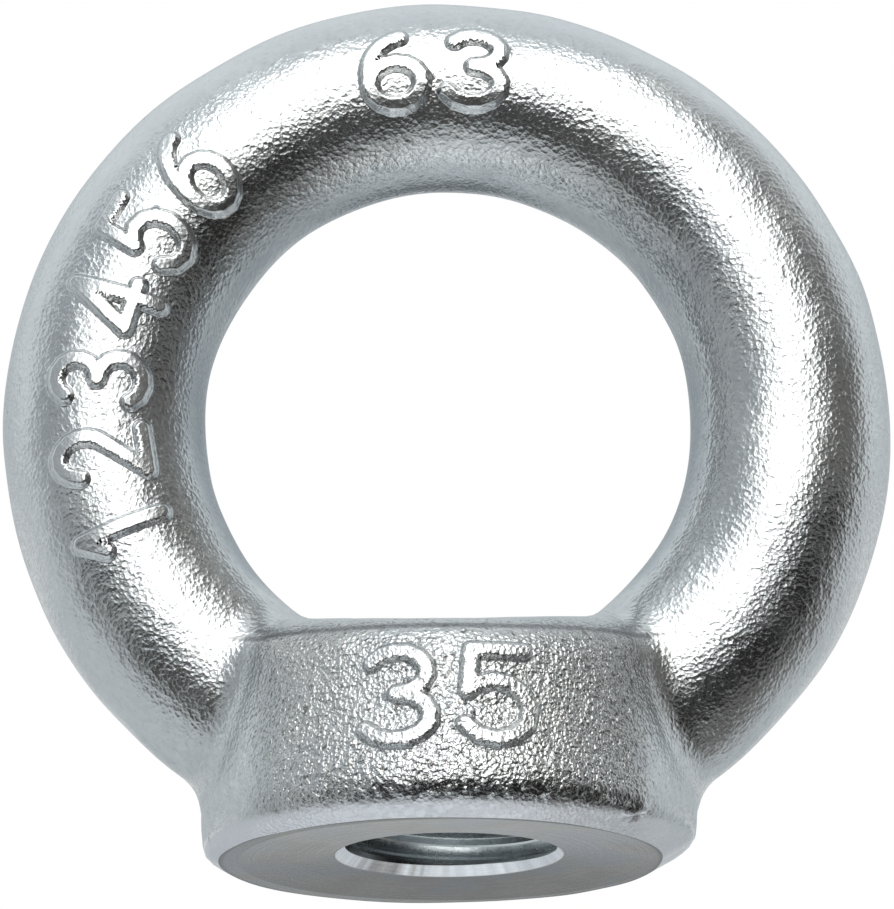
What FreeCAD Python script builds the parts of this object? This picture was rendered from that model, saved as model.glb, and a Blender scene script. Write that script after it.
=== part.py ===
import FreeCAD, Part
import os
import Sketcher

# Lifting eye nut: one drop-forged piece, an eye that stands on a round, bored foot.
# Millimetres and degrees. +Z is up, the origin is the centre of the seat, and the eye
# lies in the XZ plane. The forging repeats in its four quarters, so one quarter is drawn
# and mirrored twice. The turned bore and the hollow of the seat are cut from the whole.

DIMENSIONS = [
    ("eye_opening", 35.0, "clear width of the eye"),
    ("bar_thickness", 14.0, "round section of the eye's bar"),
    ("eye_lift", 0.05, "lowest point of the eye's outer circle above the seat"),
    ("foot_diameter", 35.0, "round foot, at its upright side"),
    ("flank_start", 2.36, "start of the drafted flank, below where the eye leaves the foot"),
    ("flank_draft", 9.0, "lean of the foot's flank from upright, degrees"),
    ("bevel_width", 2.3, "turned bevel between the seat and the side, across"),
    ("bevel_height", 1.15, "turned bevel between the seat and the side, upwards"),
    ("bevel_round", 1.0, "radius where the bevel meets the side"),
    ("crest_rise", 3.45, "ridge that crosses the foot, above the eye's inner circle"),
    ("crest_fall", 15.5, "fall from the ridge to front and back, degrees"),
    ("forging_fillet", 3.0, "radius where eye, foot and ridge run together"),
    ("bore_diameter", 14.0, "wall of the bore, before its thread"),
    ("mouth_rim", 1.05, "countersink where it meets the seat, beyond the bore all round"),
    ("mouth_lean", 45.0, "lean of the countersink from the bore's axis, degrees"),
    ("seat_width", 2.0, "flat outer ring of the seat, which bears the load"),
    ("hollow_depth", 0.4, "rise of the seat from that ring to the countersink"),
    ("cut_margin", 1.0, "reach of a cut past the metal that it removes"),
]

document = FreeCAD.newDocument("LiftingEyeNut")
sheet = document.addObject("Spreadsheet::Sheet", "Dimensions")
for row, (alias, value, note) in enumerate(DIMENSIONS, start=1):
    sheet.set("A%d" % row, note)
    sheet.set("B%d" % row, str(value))
    sheet.setAlias("B%d" % row, alias)
document.recompute()

quarter = document.addObject("PartDesign::Body", "Quarter")
eye_nut = document.addObject("PartDesign::Body", "EyeNut")
eye_nut.Label = "eye_nut"
eye_nut.Placement = FreeCAD.Placement()

# Heights and radii that follow from the driving dimensions.
EYE_HEIGHT = "(Dimensions.eye_lift + Dimensions.bar_thickness + Dimensions.eye_opening / 2)"
BAR_HEIGHT = "(Dimensions.eye_lift + Dimensions.bar_thickness / 2)"
CREST_HEIGHT = "(Dimensions.eye_lift + Dimensions.bar_thickness + Dimensions.crest_rise)"
FOOT_RADIUS = "Dimensions.foot_diameter / 2"
SEAT_RADIUS = "(Dimensions.foot_diameter / 2 - Dimensions.bevel_width)"
BORE_RADIUS = "Dimensions.bore_diameter / 2"
MOUTH_RADIUS = "(Dimensions.bore_diameter / 2 + Dimensions.mouth_rim)"
EYE_RADIUS = "(Dimensions.eye_opening / 2 + Dimensions.bar_thickness)"
LEAVING_HEIGHT = "(%s - sqrt(%s ^ 2 - (%s) ^ 2))" % (EYE_HEIGHT, EYE_RADIUS, FOOT_RADIUS)
SIDE_HEIGHT = "(%s - Dimensions.flank_start)" % LEAVING_HEIGHT

# Sketcher's own numbers for the origin point and for the two axes of a sketch.
ORIGIN = (-1, 1)
AXES = {"across": -1, "upright": -2}

# Two points nearer than this count as level with each other.
NEAR = 0.01


def origin_plane(body, role):
    """One of the body's own origin planes."""
    return next(item for item in body.Origin.OriginFeatures if item.Role == role)


def new_sketch(body, name, plane):
    sketch = body.newObject("Sketcher::SketchObject", name)
    sketch.AttachmentSupport = [(origin_plane(body, plane), "")]
    sketch.MapMode = "FlatFace"
    return sketch


def tie(sketch, kind, name, formula, *points):
    """A dimension between points, or of a curve, that follows the sheet."""
    size = float(sketch.evalExpression(formula))
    number = sketch.addConstraint(Sketcher.Constraint(kind, *points, size))
    sketch.renameConstraint(number, name)
    sketch.setExpression("Constraints." + name, formula)


def place_point(sketch, name, point, across, up):
    """Holds a point at two formulas; one of "0" puts it on the axis."""
    if across == "0":
        sketch.addConstraint(Sketcher.Constraint("PointOnObject", *point, AXES["upright"]))
    else:
        tie(sketch, "DistanceX", name + "_across", across, *ORIGIN, *point)
    if up == "0":
        sketch.addConstraint(Sketcher.Constraint("PointOnObject", *point, AXES["across"]))
    else:
        tie(sketch, "DistanceY", name + "_up", up, *ORIGIN, *point)


def formula_point(sketch, across, up):
    return FreeCAD.Vector(float(sketch.evalExpression(across)), float(sketch.evalExpression(up)), 0)


def draw_outline(sketch, corners):
    """A closed outline through named corners, each held by its two formulas."""
    spots = [formula_point(sketch, across, up) for _, across, up in corners]
    count = len(corners)
    for index in range(count):
        sketch.addGeometry(Part.LineSegment(spots[index], spots[(index + 1) % count]))
    for index in range(count):
        following = (index + 1) % count
        sketch.addConstraint(Sketcher.Constraint("Coincident", index, 2, following, 1))
    for index, (name, across, up) in enumerate(corners):
        place_point(sketch, name, (index, 1), across, up)


def quarter_foot():
    """A quarter of the foot: seat, bevel, upright side and drafted flank."""
    top = CREST_HEIGHT + " + Dimensions.cut_margin"
    lean = "(%s - %s) * tan(Dimensions.flank_draft)" % (top, SIDE_HEIGHT)
    sketch = new_sketch(quarter, "FootOutline", "XZ_Plane")
    draw_outline(sketch, [
        ("centre", "0", "0"),
        ("seat_rim", SEAT_RADIUS, "0"),
        ("bevel_top", FOOT_RADIUS, "Dimensions.bevel_height"),
        ("side_top", FOOT_RADIUS, SIDE_HEIGHT),
        ("flank_top", FOOT_RADIUS + " - " + lean, top),
        ("axis_top", "0", top),
    ])
    foot = quarter.newObject("PartDesign::Revolution", "QuarterFoot")
    foot.Profile = sketch
    foot.ReferenceAxis = (sketch, ["V_Axis"])
    foot.Angle = 90


def crest_cut():
    """Leaves the two slopes that fall from the ridge to the front and the back."""
    reach = "(%s + Dimensions.cut_margin)" % FOOT_RADIUS
    low = "%s - %s * tan(Dimensions.crest_fall)" % (CREST_HEIGHT, reach)
    ceiling = CREST_HEIGHT + " + 2 * Dimensions.cut_margin"
    sketch = new_sketch(quarter, "CrestOutline", "YZ_Plane")
    draw_outline(sketch, [
        ("crest", "0", CREST_HEIGHT),
        ("back_low", reach, low),
        ("back_high", reach, ceiling),
        ("front_high", "-" + reach, ceiling),
        ("front_low", "-" + reach, low),
    ])
    pocket = quarter.newObject("PartDesign::Pocket", "CrestCut")
    pocket.Profile = sketch
    pocket.Type = "ThroughAll"
    pocket.Midplane = True


def quarter_eye():
    """Half the bar's round section, turned half-way round the eye's own axis."""
    radius = "Dimensions.bar_thickness / 2"
    sketch = new_sketch(quarter, "BarSection", "YZ_Plane")
    centre = formula_point(sketch, "0", BAR_HEIGHT)
    size = float(sketch.evalExpression(radius))
    below = centre - FreeCAD.Vector(0, size, 0)
    back = centre + FreeCAD.Vector(size, 0, 0)
    above = centre + FreeCAD.Vector(0, size, 0)
    arc = sketch.addGeometry(Part.Arc(below, back, above))
    chord = sketch.addGeometry(Part.LineSegment(above, below))
    sketch.addConstraint(Sketcher.Constraint("Coincident", arc, 1, chord, 2))
    sketch.addConstraint(Sketcher.Constraint("Coincident", arc, 2, chord, 1))
    sketch.addConstraint(Sketcher.Constraint("PointOnObject", arc, 3, chord))
    sketch.addConstraint(Sketcher.Constraint("Vertical", chord))
    place_point(sketch, "bar_centre", (arc, 3), "0", BAR_HEIGHT)
    tie(sketch, "Radius", "bar_radius", radius, arc)

    axis_start = formula_point(sketch, "0", EYE_HEIGHT)
    axis_end = axis_start - FreeCAD.Vector(size, 0, 0)
    axis = sketch.addGeometry(Part.LineSegment(axis_start, axis_end), True)
    sketch.addConstraint(Sketcher.Constraint("Horizontal", axis))
    place_point(sketch, "eye_centre", (axis, 1), "0", EYE_HEIGHT)
    tie(sketch, "Distance", "axis_length", radius, axis)

    eye = quarter.newObject("PartDesign::Revolution", "QuarterEye")
    eye.Profile = sketch
    eye.ReferenceAxis = (sketch, ["Axis0"])
    eye.Angle = 180
    return eye


def edges_where(feature, test):
    """Names of the feature's edges whose middle passes the test."""
    return ["Edge%d" % number for number, edge in enumerate(feature.Shape.Edges, start=1)
            if test(edge.CenterOfMass)]


def round_edges(name, base, edges, formula):
    fillet = quarter.newObject("PartDesign::Fillet", name)
    fillet.Base = (base, edges)
    fillet.setExpression("Radius", formula)
    return fillet


def inside_quarter(middle):
    """True for a point that lies off both planes that cut the quarter from the whole."""
    return min(middle.x, middle.y) > NEAR


def forged_rounds(base):
    """The die's rounding wherever eye, foot and ridge run into one another."""
    side_top = float(sheet.evalExpression(SIDE_HEIGHT))
    edges = edges_where(base, lambda middle: inside_quarter(middle) and middle.z > side_top + NEAR)
    wall = "1.28 * Dimensions.flank_start"
    return round_edges("ForgedRounds", base, edges, "min(Dimensions.forging_fillet; %s)" % wall)


def bevel_round(base):
    """The soft corner between the bevel and the upright side."""
    bevel_top = sheet.get("bevel_height")
    edges = edges_where(base, lambda middle: inside_quarter(middle) and abs(middle.z - bevel_top) < NEAR)
    wall = "1.5 * (%s - Dimensions.bevel_height)" % SIDE_HEIGHT
    return round_edges("BevelRound", base, edges, "min(Dimensions.bevel_round; %s)" % wall)


def with_mirror_image(name, source, normal):
    """The source joined to its own mirror image across a plane through the origin."""
    image = document.addObject("Part::Mirroring", name + "Image")
    image.Source = source
    image.Base = (0, 0, 0)
    image.Normal = normal
    joined = document.addObject("Part::Fuse", name)
    joined.Base = source
    joined.Tool = image
    joined.Refine = True
    return joined


def machined_bore():
    """The bore for the thread, its countersink and the hollow of the seat."""
    seat_inside = SEAT_RADIUS + " - Dimensions.seat_width"
    sunk = "Dimensions.mouth_rim / tan(Dimensions.mouth_lean)"
    top = CREST_HEIGHT + " + Dimensions.cut_margin"
    sketch = new_sketch(eye_nut, "BoreOutline", "XZ_Plane")
    draw_outline(sketch, [
        ("axis_below", "0", "-Dimensions.cut_margin"),
        ("ring_below", seat_inside, "-Dimensions.cut_margin"),
        ("ring_inside", seat_inside, "0"),
        ("mouth", MOUTH_RADIUS, "Dimensions.hollow_depth"),
        ("bore_low", BORE_RADIUS, "Dimensions.hollow_depth + " + sunk),
        ("bore_high", BORE_RADIUS, top),
        ("axis_above", "0", top),
    ])
    groove = eye_nut.newObject("PartDesign::Groove", "MachinedBore")
    groove.Profile = sketch
    groove.ReferenceAxis = (sketch, ["V_Axis"])
    groove.Angle = 360
    return groove


def check_document():
    """Stops if a feature failed or the part isn't one sound solid."""
    for item in document.Objects:
        if "Invalid" in item.State or "Error" in item.State:
            raise RuntimeError("%s could not be built" % item.Name)
    shape = eye_nut.Shape
    if shape.isNull() or not shape.isValid() or len(shape.Solids) != 1:
        raise RuntimeError("%s is not one sound solid" % eye_nut.Label)


quarter_foot()
crest_cut()
eye = quarter_eye()
document.recompute()
rounds = forged_rounds(eye)
document.recompute()
quarter.Tip = bevel_round(rounds)
half = with_mirror_image("Half", quarter, (1, 0, 0))
forging = with_mirror_image("Forging", half, (0, 1, 0))
document.recompute()
eye_nut.BaseFeature = forging
eye_nut.Tip = machined_bore()
document.recompute()
check_document()

os.makedirs("parts", exist_ok=True)
eye_nut.Shape.exportStep("parts/%s.step" % eye_nut.Label)
print("%s: %.0f mm3" % (eye_nut.Label, eye_nut.Shape.Volume))
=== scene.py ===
import math

import bmesh
import bpy
import numpy as np
from mathutils import Matrix, Vector


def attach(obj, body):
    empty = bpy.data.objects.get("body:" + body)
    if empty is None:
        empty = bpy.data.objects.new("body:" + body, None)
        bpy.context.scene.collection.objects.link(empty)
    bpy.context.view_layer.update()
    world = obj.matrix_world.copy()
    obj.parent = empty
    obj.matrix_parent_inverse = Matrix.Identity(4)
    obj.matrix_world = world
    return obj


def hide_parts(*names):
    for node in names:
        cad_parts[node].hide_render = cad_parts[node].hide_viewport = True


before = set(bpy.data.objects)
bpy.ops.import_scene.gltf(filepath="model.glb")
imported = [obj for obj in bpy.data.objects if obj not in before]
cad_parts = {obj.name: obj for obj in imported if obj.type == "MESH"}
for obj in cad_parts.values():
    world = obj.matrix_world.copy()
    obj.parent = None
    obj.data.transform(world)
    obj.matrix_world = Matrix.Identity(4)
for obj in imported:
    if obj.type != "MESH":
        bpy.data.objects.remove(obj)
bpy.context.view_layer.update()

# The forging is described in millimetres by a function that is negative inside the metal.
# A mesh is laid over its zero level, and the turned faces and the thread are cut from it.
MM = 0.001
TINY = 1e-6

# The eye's middle and middle line, and its bar.
EYE_HEIGHT = 31.55
EYE_RADIUS = 24.5
BAR_RADIUS = 7.0

# The foot: a side that widens a little, the drafted flank above it, and two slopes inside the
# eye that fall away from a ridge, the crest. It is cut off below the seat, where it is turned.
FOOT_RADIUS = 17.5
FOOT_END = -1.5
SIDE_HEIGHT = 3.0
SIDE_DRAFT = math.radians(6)
FLANK_DRAFT = math.radians(9)
CREST_HEIGHT = 17.5
CREST_FALL = math.radians(13.5)
CREST_EDGE = 0.22
SIDE_ROUND = 6.0
RIM_ROUND = 4.0

# Rounds of the hollow where eye and foot run together, and how many of them it reaches.
VALLEY_ROUND = 3.0
VALLEY_LOW_ROUND = 3.6
VALLEY_RIDGE_ROUND = 0.8
VALLEY_REACH = 1.5

# The seat, its bevel and the slightly hollow face inside it. The seat lies a little off the
# bore's axis on this forging.
SEAT_RADIUS = 15.6
BEVEL_WIDTH = 2.3
BEVEL_HEIGHT = 1.3
BEVEL_ROUND = 0.7
BEVEL_FRONT_ROUND = 2.8
SEAT_ASIDE = -0.6
SEAT_BACK = 0.25
SEAT_INSIDE = 14.8
HOLLOW_DEPTH = 0.4

# The bore: its mouth, a short plain wall under the first thread, and the thread itself.
MOUTH_RADIUS = 8.05
BORE_RADIUS = 6.95
BORE_MARGIN = 0.3
RELIEF_RADIUS = 7.35
RELIEF_TOP_RADIUS = 7.2
RELIEF_HEIGHT = 0.55
RELIEF_LOW = HOLLOW_DEPTH + MOUTH_RADIUS - RELIEF_RADIUS
TURNED_TOP = RELIEF_LOW + RELIEF_HEIGHT + RELIEF_TOP_RADIUS - BORE_RADIUS + BORE_MARGIN
THREAD_ROOT = 8.0
THREAD_PITCH = 2.0

# The raised digits: their height, half the width of a stroke's top, and its shoulder.
MARK_RELIEF = 0.55
STROKE_HALF = 0.36
STROKE_SLOPE = 0.42


def gradient(function, p, step=0.01):
    """Slope of a function at points, from its values on both sides of them."""
    columns = []
    for axis in range(3):
        shift = np.zeros(3)
        shift[axis] = step
        columns.append((function(p + shift) - function(p - shift)) / (2 * step))
    return np.stack(columns, axis=1)


def round_common(a, b, cosine, radius):
    """What two shapes have in common, their edge rounded; cosine is that between their normals."""
    s, t = a + radius, b + radius
    beside = (s > t * cosine) & (t > s * cosine) & (np.maximum(s, t) > 0)
    reach = (s * s + t * t - 2 * s * t * cosine) / np.maximum(1 - cosine * cosine, 1e-4)
    return np.where(beside, np.sqrt(np.maximum(reach, 0)) - radius, np.maximum(a, b))


def round_join(a, b, cosine, radius):
    """Union of two shapes with a round in the hollow between them."""
    return -round_common(-a, -b, cosine, radius)


def arc(cx, cy, rx, ry, start, end, steps=10):
    """Points on part of an ellipse, from its middle, its half axes and two angles in degrees."""
    angles = np.radians(np.linspace(start, end, steps))
    return [(cx + rx * math.cos(a), cy + ry * math.sin(a)) for a in angles]


# Strokes of the digits in a box one wide and one high.
DIGITS = {
    "1": [[(0.2, 0.76), (0.58, 1.0), (0.58, 0.0)]],
    "2": [arc(0.5, 0.7, 0.45, 0.3, 165, -35) + [(0.05, 0.0), (0.98, 0.0)]],
    "3": [arc(0.46, 0.76, 0.44, 0.24, 150, -90) + arc(0.46, 0.26, 0.5, 0.26, 90, -150)],
    "4": [[(0.72, 0.0), (0.72, 1.0), (0.0, 0.3), (1.0, 0.3)]],
    "5": [[(0.92, 1.0), (0.14, 1.0), (0.08, 0.54)] + arc(0.47, 0.33, 0.5, 0.33, 125, -150)],
    "6": [arc(0.75, 0.4, 0.72, 0.6, 95, 180) + arc(0.5, 0.31, 0.47, 0.31, 180, -180, 16)],
}

# Marks on the eye: digit, angle round the eye, distance outside its middle line, width, height.
# The row at the side starts at an angle and goes up by equal steps.
ROW_START, ROW_STEP = 202, 13.2
EYE_MARKS = [("6", 98.2, 0.25, 4.0, 5.0), ("3", 84.6, 0.25, 4.0, 5.0)]
EYE_MARKS += [(digit, ROW_START - ROW_STEP * number, 0.0, 3.3, 6.2)
              for number, digit in enumerate("123456")]

# Marks on the foot: digit, distance round the foot, height above the seat, width, height.
FOOT_MARKS = [("3", -3.35, 8.3, 4.8, 6.4), ("5", 3.35, 8.3, 4.8, 6.4)]

# Marks stand only in front of a y, and reach only so far from their middle. Distances round
# the foot are measured on a circle. The last value is farther than a stroke's shoulder reaches.
MARK_FRONT = -2
MARK_REACH = 5.5
MARK_TURN_RADIUS = 16.6
FAR_FROM_STROKES = 9.0


def segments(digit, width, height):
    """The digit's strokes as pairs of points, centred on the origin."""
    pairs = []
    for stroke in DIGITS[digit]:
        spots = [((u - 0.5) * width, (v - 0.5) * height) for u, v in stroke]
        pairs += list(zip(spots[:-1], spots[1:]))
    return pairs


def stroke_distance(u, v, pairs):
    """Distance from points to the nearest stroke."""
    nearest = np.full(u.shape, FAR_FROM_STROKES)
    for (ax, ay), (bx, by) in pairs:
        dx, dy = bx - ax, by - ay
        along = np.clip(((u - ax) * dx + (v - ay) * dy) / (dx * dx + dy * dy + 1e-12), 0, 1)
        nearest = np.minimum(nearest, np.hypot(u - ax - along * dx, v - ay - along * dy))
    return nearest


def raised(distance):
    """Height of a mark, soft at its shoulders, from the distance to its stroke."""
    t = np.clip((STROKE_HALF + STROKE_SLOPE - distance) / STROKE_SLOPE, 0, 1)
    return MARK_RELIEF * t * t * (3 - 2 * t)


def mark_distances(p):
    """For each mark, the points near it and their distance to its strokes."""
    x, y, z = p[:, 0], p[:, 1], p[:, 2]
    up = z - EYE_HEIGHT
    places = []
    for digit, angle, out, width, height in EYE_MARKS:
        a = math.radians(angle)
        along = x * math.sin(a) - up * math.cos(a)
        outward = x * math.cos(a) + up * math.sin(a) - EYE_RADIUS - out
        places.append((along, outward, digit, width, height))
    around = np.arctan2(x, -y) * MARK_TURN_RADIUS
    for digit, across, level, width, height in FOOT_MARKS:
        places.append((around - across, z - level, digit, width, height))
    for u, v, digit, width, height in places:
        near = (y < MARK_FRONT) & (np.abs(u) < MARK_REACH) & (np.abs(v) < MARK_REACH)
        if near.any():
            yield near, stroke_distance(u[near], v[near], segments(digit, width, height))


def marks(p):
    """Height of the raised digits, which stand on the side towards -Y."""
    height = np.zeros(len(p))
    for near, distance in mark_distances(p):
        height[near] = np.maximum(height[near], raised(distance))
    return height


# Shallow swells and hollows of the die's worn surface: direction, wavelength, phase, height.
SWELLS = [
    ((0.8, 0.3, 0.5), 9.0, 0.4, 0.030),
    ((-0.4, 0.7, 0.6), 6.5, 1.9, 0.022),
    ((0.2, -0.5, 0.85), 11.0, 3.1, 0.035),
    ((0.6, -0.6, -0.5), 4.6, 5.2, 0.014),
]

# Dents of handling: middle, radius, depth. A negative depth is metal pushed up beside a dent.
DENTS = [
    ((12.3, -11.3, 1.0), 0.4, -0.2),
    ((12.7, -11.15, 1.15), 0.4, -0.26),
    ((13.1, -11.0, 1.4), 0.4, -0.28),
    ((13.4, -10.8, 1.6), 0.35, -0.2),
    ((13.15, -10.45, 1.05), 0.4, 0.35),
    ((12.8, -10.5, 0.9), 0.35, 0.25),
    ((12.2, -12.4, 3.3), 1.0, 0.12),
]


def wear(p):
    """Unevenness of the forging, positive where metal stands proud."""
    height = np.zeros(len(p))
    for direction, wavelength, phase, amount in SWELLS:
        height += amount * np.sin(p @ np.array(direction) * (2 * math.pi / wavelength) + phase)
    for middle, radius, depth in DENTS:
        gap = np.linalg.norm(p - np.array(middle), axis=1)
        height -= depth * np.exp(-(gap / radius) ** 2)
    return height


# How this eye departs from a true ring: its middle line's drift, and its bar's mean swell with
# the parts that come once and twice round the ring. The turns are the angles these start from.
DRIFT, DRIFT_TURN = 0.12, math.radians(30)
SWELL_MEAN, SWELL_ONCE, SWELL_TWICE, SWELL_TURN = 0.04, 0.18, 0.115, math.radians(75)


def eye_drift(angle):
    """How far the eye's middle line runs outside a circle, the lower part a little to one side."""
    return DRIFT * (1 - np.sin(angle)) * np.cos(angle + DRIFT_TURN)


def eye_swell(angle):
    """How much thicker the bar is than its nominal radius: thin at the top, thick low down."""
    turn = angle - SWELL_TURN
    return SWELL_MEAN - SWELL_ONCE * np.cos(turn) - SWELL_TWICE * np.cos(2 * turn)


def eye_bar(p):
    """The eye: distance and direction of its surface."""
    x, y, z = p[:, 0], p[:, 1], p[:, 2] - EYE_HEIGHT
    reach = np.maximum(np.hypot(x, z), TINY)
    angle = np.arctan2(z, x)
    out = reach - EYE_RADIUS - eye_drift(angle)
    size = np.maximum(np.hypot(out, y), TINY)
    normal = np.stack([out * x / reach, y, out * z / reach], axis=1) / size[:, None]
    return size - BAR_RADIUS - eye_swell(angle), normal


def solid_foot(p):
    """The foot with its side, flank, slopes and bevel, their edges rounded, and no bore yet."""
    y, z = p[:, 1], p[:, 2]
    rho = np.maximum(np.hypot(p[:, 0], y), TINY)
    flank = (rho - FOOT_RADIUS + (z - SIDE_HEIGHT) * math.tan(FLANK_DRAFT)) * math.cos(FLANK_DRAFT)
    side = (rho - FOOT_RADIUS - (z - SIDE_HEIGHT) * math.tan(SIDE_DRAFT)) * math.cos(SIDE_DRAFT)
    side = round_common(side, flank, math.cos(FLANK_DRAFT + SIDE_DRAFT), SIDE_ROUND)
    fall = (np.hypot(y, CREST_EDGE) - CREST_EDGE) * math.tan(CREST_FALL)
    slopes = (z - CREST_HEIGHT + fall) * math.cos(CREST_FALL)
    cosine = math.sin(FLANK_DRAFT) * math.cos(CREST_FALL)
    cosine = cosine + math.cos(FLANK_DRAFT) * math.sin(CREST_FALL) * np.abs(y) / rho
    slant = math.hypot(BEVEL_WIDTH, BEVEL_HEIGHT)
    seat_rho = np.hypot(p[:, 0] - SEAT_ASIDE, y - SEAT_BACK)
    bevel = ((seat_rho - SEAT_RADIUS) * BEVEL_HEIGHT - z * BEVEL_WIDTH) / slant
    foot = round_common(side, slopes, cosine, RIM_ROUND)
    corner = BEVEL_ROUND + (BEVEL_FRONT_ROUND - BEVEL_ROUND) * (y / rho) ** 2
    bevel_lean = math.atan2(BEVEL_WIDTH, BEVEL_HEIGHT)
    foot = round_common(foot, bevel, math.cos(bevel_lean - SIDE_DRAFT), corner)
    return np.maximum(foot, FOOT_END - z)


# Where the valley's radius changes: wide below one height, sharper above another and close to
# the ridge, and the stretch of height over which each change goes.
VALLEY_LOW_TOP, VALLEY_RIDGE_FROM, VALLEY_RIDGE_HALF, VALLEY_FADE = 10, 12, 3, 4


def valley_round(p):
    """Radius where eye and foot run together: wide low down, nearly sharp at the ridge's ends."""
    y, z = p[:, 1], p[:, 2]
    low = np.clip((VALLEY_LOW_TOP - z) / VALLEY_FADE, 0, 1)
    beside = np.clip((VALLEY_RIDGE_HALF - np.abs(y)) / VALLEY_RIDGE_HALF, 0, 1)
    ridge = beside * np.clip((z - VALLEY_RIDGE_FROM) / VALLEY_FADE, 0, 1)
    radius = VALLEY_ROUND + (VALLEY_LOW_ROUND - VALLEY_ROUND) * low * low * (3 - 2 * low)
    return radius + (VALLEY_RIDGE_ROUND - radius) * ridge * ridge * (3 - 2 * ridge)


# The cosine between two surfaces that meet is held inside this.
MOST_COSINE = 0.95


def bare_forging(p):
    """The forged body without marks and wear."""
    bar, bar_normal = eye_bar(p)
    foot = solid_foot(p)
    valley = valley_round(p)
    near = (np.abs(bar) < VALLEY_REACH * valley) & (np.abs(foot) < VALLEY_REACH * valley)
    joined = np.minimum(bar, foot)
    if near.any():
        foot_normal = gradient(solid_foot, p[near], step=0.05)
        cosine = (foot_normal * bar_normal[near]).sum(1)
        cosine = np.clip(cosine, -MOST_COSINE, MOST_COSINE)
        joined[near] = round_join(foot[near], bar[near], cosine, valley[near])
    return joined


def forging(p):
    """The forged body with marks and wear."""
    return bare_forging(p) - marks(p) - wear(p)


# A slope's square isn't taken as less than this when points are moved along it.
LEAST_SLOPE_SQUARED = 0.25


def settle(function, p, rounds):
    """Moves points onto the zero level of a function."""
    for _ in range(rounds):
        slope = gradient(function, p)
        squared = np.maximum((slope ** 2).sum(1), LEAST_SLOPE_SQUARED)
        p = p - slope * (function(p) / squared)[:, None]
    return p


# The box that the mesh is laid in, the size of its cells, how many cuts an edge gets where more
# detail is needed, and the height below which the foot is cut off anyway and stays unworn.
BOX_LOW, BOX_HIGH = (-32.5, -18.5, -2.5), (32.5, 18.5, 64.0)
CELL = 0.56
DETAIL_CUTS = 5
WORN_FROM = -1.2


def level_mesh(function, low, high, cell):
    """Quads over the zero level of a function, one vertex in each grid cell that it crosses."""
    axes = [np.arange(a, b + cell, cell) for a, b in zip(low, high)]
    grid = np.stack(np.meshgrid(*axes, indexing="ij"), axis=-1)
    values = function(grid.reshape(-1, 3)).reshape(grid.shape[:3])
    inside = values < 0
    corners = sum(inside[i:inside.shape[0] - 1 + i, j:inside.shape[1] - 1 + j,
                         k:inside.shape[2] - 1 + k].astype(int)
                  for i in (0, 1) for j in (0, 1) for k in (0, 1))
    crossed = (corners > 0) & (corners < 8)
    number = np.full(crossed.shape, -1)
    number[crossed] = np.arange(crossed.sum())
    points = grid[:-1, :-1, :-1][crossed] + cell / 2
    faces = []
    for axis in range(3):
        first = np.take(inside, range(inside.shape[axis] - 1), axis)
        second = np.take(inside, range(1, inside.shape[axis]), axis)
        where = np.argwhere(first != second)
        inner = first[tuple(where.T)]
        others = [n for n in range(3) if n != axis]
        ring = []
        for a, b in ((1, 1), (0, 1), (0, 0), (1, 0)):
            spot = where.copy()
            spot[:, others[0]] -= a
            spot[:, others[1]] -= b
            ring.append(number[tuple(spot.T)])
        quad = np.stack(ring, axis=1)
        outward = inner if axis != 1 else ~inner
        quad[~outward] = quad[~outward][:, ::-1]
        faces.append(quad)
    return points, np.concatenate(faces)


def relax(points, faces, function, rounds):
    """Evens out the mesh along the surface."""
    edges = np.concatenate([faces[:, [0, 1]], faces[:, [1, 2]], faces[:, [2, 3]], faces[:, [3, 0]]])
    count = np.zeros(len(points))
    np.add.at(count, edges[:, 0], 1)
    np.add.at(count, edges[:, 1], 1)
    for _ in range(rounds):
        total = np.zeros_like(points)
        np.add.at(total, edges[:, 0], points[edges[:, 1]])
        np.add.at(total, edges[:, 1], points[edges[:, 0]])
        halfway = 0.5 * points + 0.5 * total / count[:, None]
        points = settle(function, halfway, rounds=1)
    return points


def new_mesh(name, points, faces):
    """A mesh from an array of points and rows of point numbers."""
    mesh = bpy.data.meshes.new(name)
    mesh.from_pydata(points.tolist(), [], [list(face) for face in faces])
    mesh.update()
    return mesh


def mesh_points(mesh):
    """The mesh's vertices as an array."""
    flat = np.empty(len(mesh.vertices) * 3)
    mesh.vertices.foreach_get("co", flat)
    return flat.reshape(-1, 3)


# How far finer faces reach beside a stroke, along, across and above the crest's ridge, and from
# a dent's middle as a share of its radius.
DETAIL_BESIDE = 0.2
RIDGE_ALONG, RIDGE_ACROSS, RIDGE_ABOVE = 12, 0.8, 0.6
DENT_REACH = 1.6


def needs_detail(middles):
    """True for faces under the digits, on the crest's ridge and at the dents."""
    chosen = np.zeros(len(middles), dtype=bool)
    for near, distance in mark_distances(middles):
        chosen[near] |= distance < STROKE_HALF + STROKE_SLOPE + DETAIL_BESIDE
    x, y, z = np.abs(middles - np.array((0, 0, CREST_HEIGHT))).T
    chosen |= (x < RIDGE_ALONG) & (y < RIDGE_ACROSS) & (z < RIDGE_ABOVE)
    for middle, radius, _ in DENTS:
        chosen |= np.linalg.norm(middles - np.array(middle), axis=1) < DENT_REACH * radius
    return chosen


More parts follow.
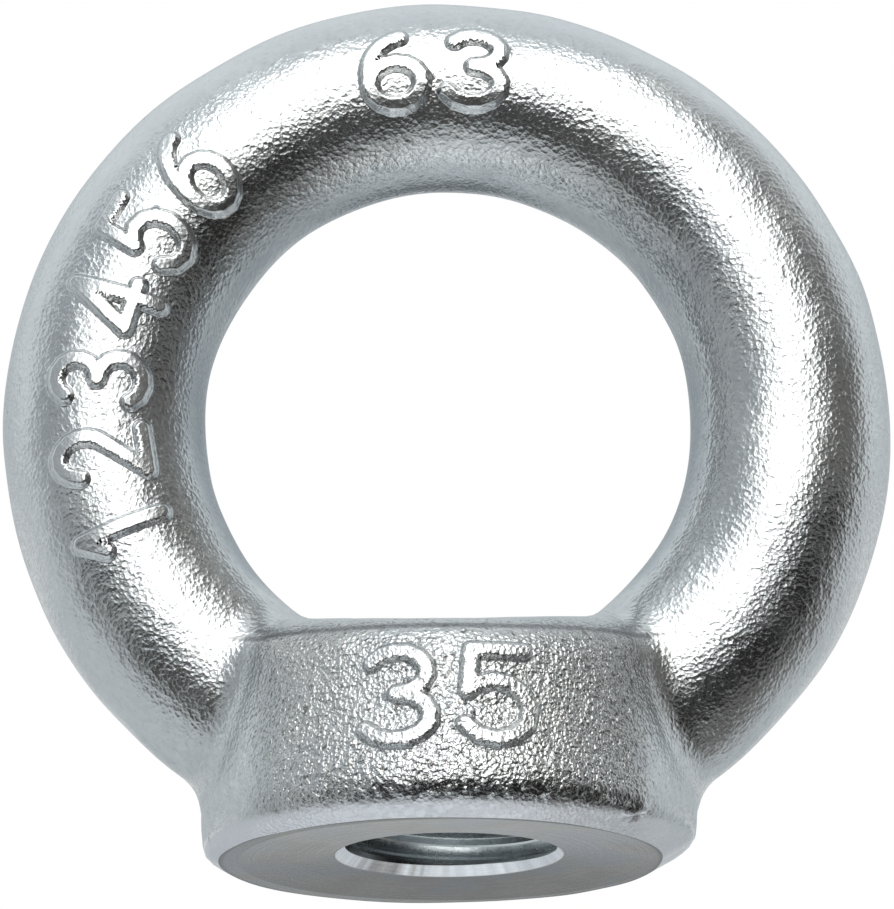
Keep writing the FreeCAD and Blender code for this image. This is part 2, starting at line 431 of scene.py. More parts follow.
def forged_mesh():
    """The forging's mesh in millimetres, with finer faces where there is detail."""
    points, faces = level_mesh(bare_forging, BOX_LOW, BOX_HIGH, CELL)
    points = settle(bare_forging, points, rounds=3)
    points = relax(points, faces, bare_forging, rounds=6)
    mesh = new_mesh("forging", points, faces)
    edit = bmesh.new()
    edit.from_mesh(mesh)
    edit.faces.ensure_lookup_table()
    middles = np.array([face.calc_center_median() for face in edit.faces])
    chosen = needs_detail(middles)
    edges = {edge for face in edit.faces if chosen[face.index] for edge in face.edges}
    bmesh.ops.subdivide_edges(edit, edges=list(edges), cuts=DETAIL_CUTS, use_grid_fill=True)
    edit.to_mesh(mesh)
    edit.free()
    points = mesh_points(mesh)
    above = points[:, 2] > WORN_FROM
    points[above] = settle(forging, points[above], rounds=5)
    mesh.vertices.foreach_set("co", points.ravel())
    mesh.update()
    return mesh


def turned(name, profile, sides=180):
    """A closed solid of revolution from (radius, height) pairs that start and end on the axis."""
    points = [(0, 0, profile[0][1])]
    for radius, height in profile[1:-1]:
        for n in range(sides):
            a = 2 * math.pi * n / sides
            points.append((radius * math.cos(a), radius * math.sin(a), height))
    points.append((0, 0, profile[-1][1]))
    rings = len(profile) - 2
    faces = []
    for n in range(sides):
        m = (n + 1) % sides
        faces.append((0, 1 + m, 1 + n))
        for ring in range(rings - 1):
            a, b = 1 + ring * sides, 1 + (ring + 1) * sides
            faces.append((a + n, a + m, b + m, b + n))
        last = 1 + (rings - 1) * sides
        faces.append((last + n, last + m, len(points) - 1))
    return new_mesh(name, np.array(points), faces)


# The thread's outline over one pitch: share of the pitch and share of its depth.
THREAD_OUTLINE = [(0.0, 0.0), (0.21, 0.0), (0.27, 0.08), (0.53, 0.92), (0.57, 1.0), (0.67, 1.0),
                  (0.71, 0.92), (0.94, 0.08), (1.0, 0.0)]
THREAD_LOW, THREAD_HIGH = -0.6, 19.0
FIRST_TURN, PAST_LAST_TURN = -2, 11


def thread_radius(share):
    """Radius of the thread's wall at a share of its pitch."""
    shares, depths = zip(*THREAD_OUTLINE)
    return BORE_RADIUS + (THREAD_ROOT - BORE_RADIUS) * np.interp(share % 1.0, shares, depths)


def thread_cutter(sides=144):
    """A closed solid whose wall is the thread's right-hand helix."""
    steps = [turn + share for turn in range(FIRST_TURN, PAST_LAST_TURN)
             for share, _ in THREAD_OUTLINE[:-1]]
    rows = np.array(steps) * THREAD_PITCH
    points = []
    for n in range(sides):
        share = n / sides
        heights = np.clip(rows + share * THREAD_PITCH, THREAD_LOW, THREAD_HIGH)
        radii = thread_radius(heights / THREAD_PITCH - share)
        angle = 2 * math.pi * share
        points.append(np.stack([radii * math.cos(angle), radii * math.sin(angle), heights], axis=1))
    points = np.concatenate(points)
    count = len(rows)
    per_turn = len(THREAD_OUTLINE) - 1
    faces = []
    for n in range(sides):
        step = per_turn if n == sides - 1 else 0
        here, there = n * count, (n + 1) % sides * count + step
        for row in range(count - 1 - step):
            faces.append((here + row, there + row, there + row + 1, here + row + 1))
    mesh = new_mesh("thread_cutter", points, faces)
    edit = bmesh.new()
    edit.from_mesh(mesh)
    bmesh.ops.remove_doubles(edit, verts=edit.verts, dist=1e-5)
    bmesh.ops.dissolve_degenerate(edit, dist=1e-6, edges=edit.edges)
    rims = [edge for edge in edit.edges if len(edge.link_faces) == 1]
    bmesh.ops.holes_fill(edit, edges=rims, sides=0)
    bmesh.ops.recalc_face_normals(edit, faces=edit.faces)
    edit.to_mesh(mesh)
    edit.free()
    return mesh


def shown(name, data):
    """An object of the scene with the mesh or camera as its data."""
    thing = bpy.data.objects.new(name, data)
    bpy.context.scene.collection.objects.link(thing)
    return thing


def cut_away(target, cutter):
    """Takes the cutter's space out of the target."""
    modifier = target.modifiers.new("cut", "BOOLEAN")
    modifier.operation = "DIFFERENCE"
    modifier.solver = "MANIFOLD"
    modifier.object = cutter
    view_layer = bpy.context.view_layer
    view_layer.update()
    result = bpy.data.meshes.new_from_object(target.evaluated_get(view_layer.depsgraph))
    target.modifiers.clear()
    target.data = result
    bpy.data.objects.remove(cutter)


def without_slivers(mesh, least):
    """Closes the shortest edges and the faces without width that the cuts left."""
    edit = bmesh.new()
    edit.from_mesh(mesh)
    bmesh.ops.remove_doubles(edit, verts=edit.verts, dist=least)
    bmesh.ops.dissolve_degenerate(edit, dist=least, edges=edit.edges)
    bmesh.ops.triangulate(edit, faces=[face for face in edit.faces if len(face.verts) > 4])
    edit.to_mesh(mesh)
    edit.free()


# Material numbers, the play given to a face's middle when it is told by its place, how far the
# seat's flat may reach past its nominal radius, and how deep in the metal a cut face lies.
SKIN, FACE, THREAD = 0, 1, 2
SEAT_PLAY, CUT_PLAY, CONE_PLAY = 0.001, 0.01, 0.02
SEAT_MARGIN = 1
CUT_DEEPER = 0.12


def machined_groups(middles):
    """Which faces of the cut body are turned, and which are thread."""
    rho = np.hypot(middles[:, 0], middles[:, 1])
    level = middles[:, 2]
    group = np.full(len(middles), SKIN)
    group[(level < SEAT_PLAY) & (rho < SEAT_RADIUS + SEAT_MARGIN)] = FACE
    hollow = (rho < SEAT_INSIDE) & (rho > MOUTH_RADIUS - CUT_PLAY)
    group[hollow & (level < HOLLOW_DEPTH + CUT_PLAY)] = FACE
    cone = (rho < SEAT_INSIDE) & (level < RELIEF_LOW) & (rho > RELIEF_RADIUS - CUT_PLAY)
    group[cone & (rho - MOUTH_RADIUS < HOLLOW_DEPTH - level + CONE_PLAY)] = FACE
    inner = (rho < THREAD_ROOT + CONE_PLAY) & (level < CREST_HEIGHT)
    group[inner & (bare_forging(middles) < -CUT_DEEPER) & (group != FACE)] = THREAD
    return group


def corner_normals(mesh, group):
    """Exact normals: the forging's own slope, and those of the turned faces and the thread."""
    loops = len(mesh.loops)
    corner_vertex = np.empty(loops, dtype=int)
    mesh.loops.foreach_get("vertex_index", corner_vertex)
    totals = np.empty(len(mesh.polygons), dtype=int)
    mesh.polygons.foreach_get("loop_total", totals)
    corner_face = np.repeat(np.arange(len(mesh.polygons)), totals)
    face_normal = np.empty(len(mesh.polygons) * 3)
    mesh.polygons.foreach_get("normal", face_normal)
    face_normal = face_normal.reshape(-1, 3)
    points = mesh_points(mesh)
    slope = gradient(forging, points, step=0.03)
    slope /= np.maximum(np.linalg.norm(slope, axis=1), TINY)[:, None]
    normals = slope[corner_vertex]
    cut = group[corner_face] != SKIN
    flat = face_normal[corner_face[cut]]
    around = points[corner_vertex[cut], :2]
    around /= np.maximum(np.linalg.norm(around, axis=1), TINY)[:, None]
    radial = -np.hypot(flat[:, 0], flat[:, 1])
    normals[cut] = np.column_stack([around * radial[:, None], flat[:, 2]])
    return normals


# The seat's cutter reaches below and beside the foot. Edges that the cuts leave shorter than
# the last value are closed.
CUTTER_RADIUS, CUTTER_LOW = 22, -3
LEAST_EDGE = 0.0005

forged = shown("forged_eye_nut", forged_mesh())
seat_profile = [(0, CUTTER_LOW), (CUTTER_RADIUS, CUTTER_LOW), (CUTTER_RADIUS, 0),
                (SEAT_INSIDE, 0), (MOUTH_RADIUS, HOLLOW_DEPTH), (RELIEF_RADIUS, RELIEF_LOW),
                (RELIEF_TOP_RADIUS, RELIEF_LOW + RELIEF_HEIGHT),
                (BORE_RADIUS - BORE_MARGIN, TURNED_TOP), (0, TURNED_TOP)]
cut_away(forged, shown("seat_cutter", turned("seat_cutter", seat_profile)))
cut_away(forged, shown("bore_cutter", thread_cutter()))

body = forged.data
without_slivers(body, LEAST_EDGE)
middles = np.empty(len(body.polygons) * 3)
body.polygons.foreach_get("center", middles)
groups = machined_groups(middles.reshape(-1, 3))
corners = corner_normals(body, groups)
body.polygons.foreach_set("use_smooth", [True] * len(body.polygons))
rubbed = body.attributes.new("rubbed", "FLOAT", "POINT")
rubbed.data.foreach_set("value", (marks(mesh_points(body)) / MARK_RELIEF).tolist())


def new_material(name):
    """A material with nothing in its tree but a shader and the output."""
    material = bpy.data.materials.new(name)
    material.use_nodes = True
    tree = material.node_tree
    tree.nodes.clear()
    output = tree.nodes.new("ShaderNodeOutputMaterial")
    shader = tree.nodes.new("ShaderNodeBsdfPrincipled")
    tree.links.new(shader.outputs["BSDF"], output.inputs["Surface"])
    return material, tree, shader


def node(tree, kind, **settings):
    """A node with its attributes set, and its inputs set or linked by name or number."""
    inputs = settings.pop("inputs", {})
    made = tree.nodes.new(kind)
    for key, value in settings.items():
        setattr(made, key, value)
    for key, value in inputs.items():
        if isinstance(value, bpy.types.NodeSocket):
            tree.links.new(value, made.inputs[key])
        else:
            made.inputs[key].default_value = value
    return made


def math_node(tree, operation, *values):
    return node(tree, "ShaderNodeMath", operation=operation,
                inputs=dict(enumerate(values))).outputs[0]


def product(tree, first, *others):
    """Product of two or more values."""
    for other in others:
        first = math_node(tree, "MULTIPLY", first, other)
    return first


def without(tree, value, mask, share):
    """The value with a share of it taken off where the mask is full."""
    return product(tree, value, math_node(tree, "SUBTRACT", 1.0, product(tree, mask, share)))


def spread(tree, value, low, high, to_low, to_high, smooth=True):
    """A value taken from one range to another, held at the range's ends."""
    kind = "SMOOTHSTEP" if smooth else "LINEAR"
    return node(tree, "ShaderNodeMapRange", interpolation_type=kind, clamp=True,
                inputs={0: value, 1: low, 2: high, 3: to_low, 4: to_high}).outputs[0]


def rising(tree, value, low, high, top=1.0):
    """Zero below a range and the top value above it."""
    return spread(tree, value, low, high, 0.0, top)


def falling(tree, value, low, high, top=1.0):
    """The top value below a range and zero above it."""
    return spread(tree, value, low, high, top, 0.0)


def noise(tree, vector, scale, detail=2.0, roughness=0.5):
    return node(tree, "ShaderNodeTexNoise", inputs={
        "Vector": vector, "Scale": scale, "Detail": detail, "Roughness": roughness}).outputs["Fac"]


def mixed(tree, fac, a, b):
    """Colour a where the factor is zero and colour b where it is one."""
    mix = node(tree, "ShaderNodeMix", data_type="RGBA")
    for socket, value in ((mix.inputs[0], fac), (mix.inputs[6], a), (mix.inputs[7], b)):
        if isinstance(value, bpy.types.NodeSocket):
            tree.links.new(value, socket)
        else:
            socket.default_value = value
    return mix.outputs[2]


def layered(tree, tone, layers):
    """A colour with others laid over it in turn, each by its own mask."""
    for mask, color in layers:
        tone = mixed(tree, mask, tone, color)
    return tone


def bump(tree, height, strength, distance, normal=None):
    inputs = {"Height": height, "Strength": strength, "Distance": distance}
    if normal is not None:
        inputs["Normal"] = normal
    return node(tree, "ShaderNodeBump", inputs=inputs).outputs["Normal"]


def hypotenuse(tree, x, y):
    squares = math_node(tree, "ADD", product(tree, x, x), product(tree, y, y))
    return math_node(tree, "SQRT", squares)


def dimples(tree, vector, scale):
    """Height of a blasted surface: small bowls with ridges where they meet."""
    reach = node(tree, "ShaderNodeTexVoronoi", feature="F1",
                 inputs={"Vector": vector, "Scale": scale, "Randomness": 1.0}).outputs["Distance"]
    return product(tree, reach, reach)


def object_place(tree):
    """Place in the object's own frame in metres, whole and as its three parts."""
    place = node(tree, "ShaderNodeTexCoord").outputs["Object"]
    x, y, up = node(tree, "ShaderNodeSeparateXYZ", inputs={0: place}).outputs
    return place, x, y, up


# Base colours of the forged skin. The last six are those of single regions. Several are painted
# light and shade: the dark band low on the foot's front, the lighter rim outside the eye and the
# lighter bevel, the darker inside of the eye and sides of the foot's front, and the flank's dark
# arc.
SKIN_COOL = (0.63, 0.645, 0.66, 1)
SKIN_PALE = (0.71, 0.72, 0.72, 1)
SKIN_MOTTLE = (0.36, 0.365, 0.37, 1)
SKIN_PIT = (0.22, 0.212, 0.20, 1)
# Painted dark reflection: the dark band low on the foot's front, just above the bevel.
SKIN_PAINTED_DARK_BAND = (0.09, 0.09, 0.09, 1)
# Painted reflection: the ring's outside painted lighter, standing in for the pale reflection at its
# rim.
SKIN_PAINTED_RIM_LIGHT = (0.77, 0.775, 0.785, 1)
# Painted shade: the inside of the eye painted darker.
SKIN_PAINTED_EYE_SHADE = (0.26, 0.30, 0.325, 1)
# Painted shade: the sides of the foot's front painted darker and warmer, its middle left light.
SKIN_PAINTED_SIDE_SHADE = (0.40, 0.385, 0.365, 1)
# Painted dark reflection: the thin dark arc along the flank's upper edge.
SKIN_PAINTED_ARC = (0.22, 0.22, 0.225, 1)
# Painted reflection: the bevel painted lighter and lavender, standing in for the pale ground it
# mirrors.
SKIN_PAINTED_BEVEL_LIGHT = (0.76, 0.755, 0.78, 1)
SKIN_RUBBED = (0.74, 0.745, 0.745, 1)

# The painted dark reflection along the flank's upper edge: its height in front, and how fast it
# rises aside.
PAINTED_ARC_HEIGHT, PAINTED_ARC_RISE = 0.01355, 4.5

# Depth of the soft swells and of the fine dimples of the blasted skin.
PEEL_DEPTH, GRAIN_DEPTH = 0.00017, 0.00011


def skin_regions(tree, x, y, up):
    """How much each region of the skin counts at a place, from none to full."""
    radius = hypotenuse(tree, x, y)
    width = math_node(tree, "ABSOLUTE", x)
    reach = hypotenuse(tree, x, math_node(tree, "SUBTRACT", up, EYE_HEIGHT * MM))
    foot = product(tree, falling(tree, up, 0.013, 0.018), falling(tree, radius, 0.0172, 0.0195))
    middle = math_node(tree, "SUBTRACT", 1.0, rising(tree, width, 0.0118, 0.0146))
    front = product(tree, foot, middle, spread(tree, y, -0.005, 0.004, 1.0, 0.4))
    painted_arc_line = math_node(tree, "MULTIPLY_ADD", product(tree, x, x), PAINTED_ARC_RISE, PAINTED_ARC_HEIGHT)
    off_line = math_node(tree, "ABSOLUTE", math_node(tree, "SUBTRACT", up, painted_arc_line))
    return {
        # The bevel region is painted lighter, a painted reflection; its smoother relief is real.
        "bevel": falling(tree, up, 0.0008, 0.0013),
        "front": front,
        # The edge region is a painted dark reflection: a dark band low on the foot's front above
        # the bevel.
        "edge": product(tree, front, falling(tree, up, 0.0019, 0.0027),
                        spread(tree, x, -0.009, -0.004, 0.15, 1.0),
                        falling(tree, y, -0.003, 0.003)),
        # Painted reflection: the ring's outside, lighter, away from the foot.
        "outer": product(tree, rising(tree, reach, 0.0275, 0.030, 0.5),
                         rising(tree, up, 0.006, 0.012)),
        # The inner region is painted shade: the inside of the eye is darker, less so towards its
        # top.
        "inner": product(tree, falling(tree, reach, 0.0173, 0.0192),
                         rising(tree, up, 0.0178, 0.0205),
                         spread(tree, up, 0.036, 0.047, 0.85, 0.55)),
        # Painted shade on the sides of the foot's front, away from its middle.
        "painted_side_shade": product(tree, front, rising(tree, width, 0.003, 0.008, 0.28)),
        # Painted dark reflection: a thin line along the flank's upper edge.
        "painted_arc": product(tree, falling(tree, off_line, 0.00005, 0.00035),
                        falling(tree, radius, 0.0165, 0.0175)),
        "top": node(tree, "ShaderNodeAttribute", attribute_name="rubbed").outputs["Fac"],
    }


def skin_tone(tree, place, regions):
    """The zinc's colour: clouds, mottle and pits, then the tone of each region. The dark band low
    on the foot's front and most of the regions' tones are painted light and shade.
    """
    cloud = noise(tree, place, 120, 3.0, 0.55)
    grime = noise(tree, place, 1500, 2.0, 0.6)
    pitting = noise(tree, place, 2100, 1.0, 0.5)
    tone = mixed(tree, rising(tree, cloud, 0.35, 0.68), SKIN_COOL, SKIN_PALE)
    return layered(tree, tone, (
        (spread(tree, grime, 0.35, 0.65, 0.22, 0.0, False), SKIN_MOTTLE),
        (product(tree, falling(tree, pitting, 0.27, 0.37),
                 spread(tree, regions["front"], 0, 1, 0.2, 0.9)), SKIN_PIT),
        # Painted dark reflection low on the foot's front, broken up by the mottle.
        (product(tree, regions["edge"], falling(tree, grime, 0.47, 0.63, 0.88)), SKIN_PAINTED_DARK_BAND),
        # Painted reflection: the ring's outside painted lighter.
        (regions["outer"], SKIN_PAINTED_RIM_LIGHT),
        # Painted shade inside the eye.
        (regions["inner"], SKIN_PAINTED_EYE_SHADE),
        # Painted shade on the sides of the foot's front.
        (regions["painted_side_shade"], SKIN_PAINTED_SIDE_SHADE),
        # Painted dark reflection along the flank's upper edge.
        (product(tree, regions["painted_arc"], 0.75), SKIN_PAINTED_ARC),
        # Painted reflection: the bevel painted lighter.
        (product(tree, regions["bevel"], 0.8), SKIN_PAINTED_BEVEL_LIGHT),
        (product(tree, regions["top"], 0.5), SKIN_RUBBED),
    ))


def skin_relief(tree, place, regions):
    """Swells and dimples of the blasting, strong on the foot's front and weak where it is worn."""
    straying = node(tree, "ShaderNodeTexNoise", inputs={"Vector": place, "Scale": 2500.0})
    wander = node(tree, "ShaderNodeVectorMath", operation="MULTIPLY_ADD", inputs={
        0: straying.outputs["Color"], 1: (0.0002, 0.0002, 0.0002), 2: place}).outputs[0]
    peel = noise(tree, place, 900, 2.0, 0.55)
    grain = math_node(tree, "ADD", product(tree, dimples(tree, wander, 3300), 0.7),
                      product(tree, noise(tree, place, 3800, 2.0, 0.6), 0.8))
    facing = node(tree, "ShaderNodeTexCoord").outputs["Normal"]
    facing_up = node(tree, "ShaderNodeSeparateXYZ", inputs={0: facing}).outputs[2]
    coarse = product(tree, spread(tree, regions["front"], 0.0, 1.0, 0.45, 1.3, False),
                     spread(tree, facing_up, 0.35, 0.7, 1.0, 0.5))
    for region, share in (("bevel", 0.6), ("top", 0.5), ("edge", 0.25)):
        coarse = without(tree, coarse, regions[region], share)
    soft = bump(tree, peel, coarse, PEEL_DEPTH)
    return bump(tree, grain, coarse, GRAIN_DEPTH, soft)


def forged_skin():
    """Zinc over a blasted forging: bright, dimpled metal with pits and a smoother bevel, and
    painted
    reflections and shade: dark low on the foot's front and along the flank's top, lighter on the
    rim outside the eye and on the bevel, darker inside the eye and on the sides of the foot's
    front."""
    material, tree, shader = new_material("zinc_skin")
    place, x, y, up = object_place(tree)
    regions = skin_regions(tree, x, y, up)
    polish = noise(tree, place, 420, 3.0, 0.6)
    rough = math_node(tree, "ADD", spread(tree, polish, 0.3, 0.7, 0.16, 0.28, False),
                      product(tree, regions["bevel"], 0.1))
    shader.inputs["Metallic"].default_value = 1.0
    tree.links.new(skin_tone(tree, place, regions), shader.inputs["Base Color"])
    tree.links.new(rough, shader.inputs["Roughness"])
    tree.links.new(skin_relief(tree, place, regions), shader.inputs["Normal"])
    return material


# Base colours of the turned face, of the mouth's cone, and of the painted shade along the seat's
# edge.
TURNED_BROWN = (0.62, 0.57, 0.53, 1)
TURNED_TAN = (0.72, 0.67, 0.63, 1)
TURNED_GREY = (0.64, 0.63, 0.655, 1)
# Painted shade: a dark line round the seat's edge.
TURNED_PAINTED_EDGE_SHADE = (0.2, 0.195, 0.19, 1)
MOUTH_GREY = (0.80, 0.80, 0.83, 1)
MOUTH_BRIGHT = (0.93, 0.93, 0.95, 1)


def turned_face():
    """Fine concentric tool marks under the zinc, a painted dark line of shade round the seat's
    edge, and the mouth's brighter cone with its chatter."""
    material, tree, shader = new_material("zinc_turned")
    place, x, y, up = object_place(tree)
    mouth = rising(tree, up, 0.00041, 0.00047)
    seat_radius = hypotenuse(tree, math_node(tree, "SUBTRACT", x, SEAT_ASIDE * MM),
                             math_node(tree, "SUBTRACT", y, SEAT_BACK * MM))
    lines = node(tree, "ShaderNodeTexNoise", noise_dimensions="1D", inputs={
        "W": hypotenuse(tree, x, y), "Scale": 5200, "Detail": 2.0,
        "Roughness": 0.6}).outputs["Fac"]
    chatter = node(tree, "ShaderNodeTexNoise", noise_dimensions="1D", inputs={
        "W": math_node(tree, "ARCTAN2", y, x), "Scale": 7.0, "Detail": 1.0}).outputs["Fac"]
    cloud = noise(tree, place, 260, 3.0, 0.6)
    stain = noise(tree, place, 150, 2.0, 0.5)
    tone = mixed(tree, rising(tree, cloud, 0.3, 0.7), TURNED_BROWN, TURNED_TAN)
    bright = mixed(tree, rising(tree, chatter, 0.4, 0.6), MOUTH_GREY, MOUTH_BRIGHT)
    tone = layered(tree, tone, (
        (rising(tree, stain, 0.4, 0.65), TURNED_GREY),
        # Painted shade round the seat's edge.
        (rising(tree, seat_radius, 0.01515, SEAT_RADIUS * MM, 0.6), TURNED_PAINTED_EDGE_SHADE),
        (mouth, bright),
    ))
    ridges = bump(tree, lines, 0.16, 0.00002)
    waves = bump(tree, chatter, product(tree, mouth, 0.5), 0.0002, ridges)
    fine = bump(tree, noise(tree, place, 2600, 2.0, 0.6), 0.3, 0.00003, waves)
    shader.inputs["Metallic"].default_value = 1.0
    tree.links.new(tone, shader.inputs["Base Color"])
    tree.links.new(spread(tree, lines, 0.3, 0.7, 0.22, 0.32, False), shader.inputs["Roughness"])
    tree.links.new(fine, shader.inputs["Normal"])
    return material


# Base colours of the thread with its painted shade, and the lean of that shade's upper limit across
# it.
THREAD_GREY = (0.70, 0.735, 0.75, 1)
THREAD_BRIGHT = (0.84, 0.87, 0.88, 1)
# Painted shade: the dark in the thread's start, low in the bore on the -X side.
THREAD_PAINTED_SHADE = (0.03, 0.035, 0.04, 1)
PAINTED_SHADE_LEAN = 0.03


def cut_thread():
    """Tapped steel under a thinner zinc, smooth and bright, with painted shade in the thread's
    start on the -X side."""
    material, tree, shader = new_material("zinc_thread")
    place, x, _, up = object_place(tree)
    cloud = noise(tree, place, 500, 3.0, 0.6)
    depth = math_node(tree, "MULTIPLY_ADD", x, PAINTED_SHADE_LEAN, up)
    # Painted shade low in the bore, strongest on the -X side.
    thread_shade_mask = product(tree, falling(tree, depth, 0.0015, 0.0018, 0.8),
                   spread(tree, x, -0.0045, -0.0005, 1.0, 0.1))
    tone = mixed(tree, thread_shade_mask, mixed(tree, cloud, THREAD_GREY, THREAD_BRIGHT), THREAD_PAINTED_SHADE)
    grain = bump(tree, noise(tree, place, 3000, 2.0, 0.6), 0.35, 0.00003)
    shader.inputs["Metallic"].default_value = 1.0
    tree.links.new(tone, shader.inputs["Base Color"])
    tree.links.new(spread(tree, cloud, 0.3, 0.7, 0.20, 0.32, False), shader.inputs["Roughness"])
    tree.links.new(grain, shader.inputs["Normal"])
    return material


body.materials.clear()
for make in (forged_skin, turned_face, cut_thread):
    body.materials.append(make())
body.polygons.foreach_set("material_index", groups.astype(int).tolist())
body.transform(Matrix.Scale(MM, 4))
body.normals_split_custom_set(corners.tolist())
body.update()

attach(forged, "root")
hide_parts("eye_nut")


# Half the floor's side and its height, in metres, and the share of it that glows.
FLOOR_HALF, FLOOR_HEIGHT = 3.0, -0.0004
FLOOR_GLOW = 0.35
WHITE = (1, 1, 1, 1)


def studio_floor():
    """A pale floor that shows only from above and takes no part in the metal's reflections."""
    around = ((-1, -1), (1, -1), (1, 1), (-1, 1))
    points = np.array([(x * FLOOR_HALF, y * FLOOR_HALF, FLOOR_HEIGHT) for x, y in around])
    floor = shown("floor", new_mesh("floor", points, [(0, 1, 2, 3)]))
    material, tree, shader = new_material("pale_floor")
    shader.inputs["Base Color"].default_value = (0.86, 0.86, 0.86, 1)
    shader.inputs["Roughness"].default_value = 0.9
    behind = node(tree, "ShaderNodeNewGeometry").outputs["Backfacing"]
    glow = node(tree, "ShaderNodeEmission", inputs={"Color": WHITE, "Strength": 1.0})
    clear = node(tree, "ShaderNodeBsdfTransparent")
    lit = node(tree, "ShaderNodeMixShader", inputs={
        0: FLOOR_GLOW, 1: shader.outputs[0], 2: glow.outputs[0]})
    seen = node(tree, "ShaderNodeMixShader", inputs={
        0: behind, 1: lit.outputs[0], 2: clear.outputs[0]})
    output = tree.nodes["Material Output"]
    tree.links.new(seen.outputs[0], output.inputs["Surface"])
    floor.data.materials.append(material)
    floor.visible_glossy = False
    floor.visible_diffuse = False
    floor.visible_transmission = False
    floor.visible_shadow = False


# The room's patches. Each has two ranges in degrees, the rise from straight ahead and the turn
# to the side, and each range says where it begins, is full, starts to fade and ends.
LAMP = (-5, 5, 52, 70), (-33, -12, 14, 33)
WIDE_LAMP = (36, 48, 56, 74), (-42, -22, 22, 46)
BENCH = (-64, -46, -11, -1), (-75, -32, 65, 90)
DARK_RIGHT = (-150, -95, 60, 130), (12, 42, 70, 105)
DARK_LEFT = (-70, -30, 62, 98), (-120, -95, -50, -24)
SHADE_BEHIND = (-173, -165, -148, -138), (-18, -6, 8, 20)
PALE_UNDER = (-135, -120, -92, -66), (-40, -20, 20, 40)

# Ranges of the rise alone: the ceiling, and the backdrop that the metal mirrors, without an end.
CEILING = (60, 90, 130, 165)
BACKDROP = (172, 179, 400, 401)

# The room's own level, what its parts add to it, and the shares that its dark parts take off.
ROOM_LEVEL, CEILING_LEVEL, UNDER_LEVEL = 0.62, 0.22, 0.3
LAMP_LEVEL, WIDE_LAMP_LEVEL = 2.1, 0.6
BENCH_SHARE, RIGHT_SHARE, LEFT_SHARE, SHADE_SHARE = 0.9, 0.76, 0.3, 0.7
ROOM_TINT, LAMP_TINT = (0.925, 1.0, 1.035, 1), (1.0, 0.99, 0.955, 1)


def window(tree, value, begin, full, fade, end):
    """One inside a range of degrees and zero outside, with soft edges."""
    return product(tree, rising(tree, value, math.radians(begin), math.radians(full)),
                   falling(tree, value, math.radians(fade), math.radians(end)))


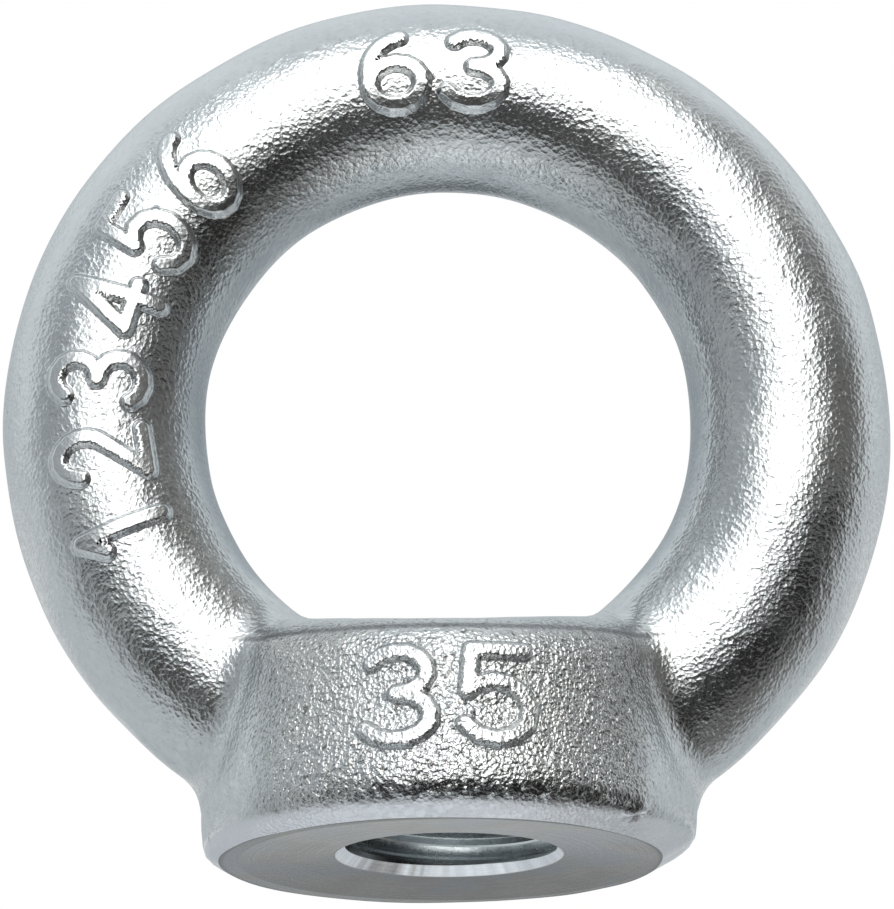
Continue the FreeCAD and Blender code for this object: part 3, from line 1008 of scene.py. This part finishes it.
def studio_light():
    """A cool pale room with a soft lamp in front, a weaker and wider one above it, a dark bench
    below and darker sides. The camera sees it all white."""
    world = bpy.data.worlds.new("studio")
    bpy.context.scene.world = world
    world.use_nodes = True
    tree = world.node_tree
    tree.nodes.clear()
    way = node(tree, "ShaderNodeTexCoord").outputs["Generated"]
    x, y, z = node(tree, "ShaderNodeSeparateXYZ", inputs={0: way}).outputs
    rise = math_node(tree, "ARCTAN2", z, product(tree, y, -1.0))
    side = math_node(tree, "ARCSINE", x)

    def patch(rises, sides):
        return product(tree, window(tree, rise, *rises), window(tree, side, *sides))

    def brighter(level, mask, amount):
        return math_node(tree, "ADD", level, product(tree, mask, amount))

    lamp, bench, right = patch(*LAMP), patch(*BENCH), patch(*DARK_RIGHT)
    level = brighter(ROOM_LEVEL, window(tree, rise, *CEILING), CEILING_LEVEL)
    level = brighter(level, patch(*PALE_UNDER), UNDER_LEVEL)
    for mask, share in ((bench, BENCH_SHARE), (right, RIGHT_SHARE),
                        (patch(*DARK_LEFT), LEFT_SHARE), (patch(*SHADE_BEHIND), SHADE_SHARE)):
        level = without(tree, level, mask, share)
    level = brighter(level, lamp, LAMP_LEVEL)
    level = brighter(level, patch(*WIDE_LAMP), WIDE_LAMP_LEVEL)
    warmth = math_node(tree, "MAXIMUM", math_node(tree, "MAXIMUM", bench, right), lamp)
    room = node(tree, "ShaderNodeVectorMath", operation="SCALE", inputs={
        0: mixed(tree, warmth, ROOM_TINT, LAMP_TINT), "Scale": level}).outputs[0]

    path = node(tree, "ShaderNodeLightPath")
    glossy = math_node(tree, "MAXIMUM", path.outputs["Is Glossy Ray"],
                       path.outputs["Is Transmission Ray"])
    white = math_node(tree, "MAXIMUM", path.outputs["Is Camera Ray"],
                      product(tree, glossy, window(tree, rise, *BACKDROP)))
    background = node(tree, "ShaderNodeBackground", inputs={
        "Color": mixed(tree, white, room, WHITE), "Strength": 1.0})
    output = node(tree, "ShaderNodeOutputWorld")
    tree.links.new(background.outputs[0], output.inputs["Surface"])


# The photograph's camera: its height and focal length in pixels, its distance in metres, its
# angle below the object, its lean, and the point that it is aimed at in millimetres, with the
# pixels by which that point misses the picture's middle.
PHOTO_PIXELS, FOCAL_PIXELS = 909, 7005
CAMERA_AWAY = 0.5
CAMERA_RISE = math.radians(14.6)
CAMERA_LEAN = 0.008
AIM_HEIGHT = 31
AIM_ASIDE, AIM_LIFT = 0.8, -20.6
SENSOR = 36


def photo_camera():
    """The photograph's view: from in front and below, looking slightly up."""
    away = Vector((0, -math.cos(CAMERA_RISE), -math.sin(CAMERA_RISE)))
    camera_data = bpy.data.cameras.new("camera")
    camera_data.sensor_fit = "VERTICAL"
    camera_data.sensor_height = SENSOR
    camera_data.sensor_width = SENSOR
    camera_data.lens = SENSOR * FOCAL_PIXELS / PHOTO_PIXELS
    camera_data.clip_start = 0.01
    camera = shown("camera", camera_data)
    place = Vector((0, 0, AIM_HEIGHT)) * MM + away * CAMERA_AWAY
    up = Vector((0, -math.sin(CAMERA_RISE), math.cos(CAMERA_RISE)))
    right = Vector((1, 0, 0))
    aside, lift = AIM_ASIDE / FOCAL_PIXELS, AIM_LIFT / FOCAL_PIXELS
    forward = (-away + right * aside + up * lift).normalized()
    upright = (up + right * CAMERA_LEAN).normalized()
    back = -forward
    across = upright.cross(back).normalized()
    upright = back.cross(across)
    turn = Matrix((across, upright, back)).transposed()
    camera.matrix_world = Matrix.Translation(place) @ turn.to_4x4()
    bpy.context.scene.camera = camera


studio_floor()
studio_light()
photo_camera()
bpy.context.scene.view_settings.view_transform = "Standard"
